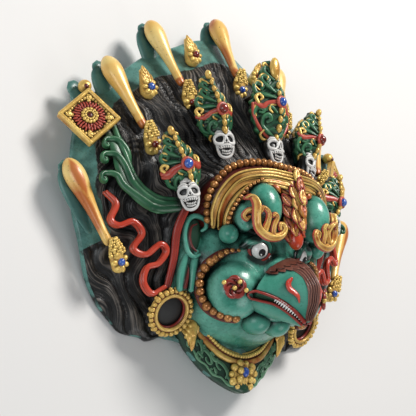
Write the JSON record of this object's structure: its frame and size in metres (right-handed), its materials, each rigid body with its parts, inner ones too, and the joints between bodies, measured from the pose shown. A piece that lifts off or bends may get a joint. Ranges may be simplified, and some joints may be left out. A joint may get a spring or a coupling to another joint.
{
  "type": "wall mask",
  "caption": "Garuda wall mask: hollow cast face with hooked beak on a swept hair board, with crown leaves, skulls, clubs, ribbons, ring earrings and a pointed collar",
  "frame": {"origin": "on the flat back plane, midway between the tip of the crown club and the tip of the collar, on the mask's middle plane", "axes": "+Z out of the face, +Y from the collar to the crown, +X to the side that is on the right when the face is looked at"},
  "size_m": [0.2084, 0.21, 0.0716],
  "materials": {
    "teal_paint": "blue-green face paint with dark wash in the hollows, semi-gloss varnish",
    "hair_paint": "near-black painted hair, dry-brushed grey on the ridges, satin varnish",
    "gold_paint": "yellow-gold paint with orange-brown shading and brown wash, semi-gloss varnish",
    "green_paint": "deep green paint with dark wash, semi-gloss varnish",
    "red_paint": "red to orange-red paint with dark wash, semi-gloss varnish",
    "bone_paint": "white-grey paint with black wash, on skulls, teeth and eyes",
    "blue_enamel": "glossy blue enamel on the small set stones"
  },
  "bodies": {
    "root": {"mask": "teal_paint"}
  },
  "joints": []
}
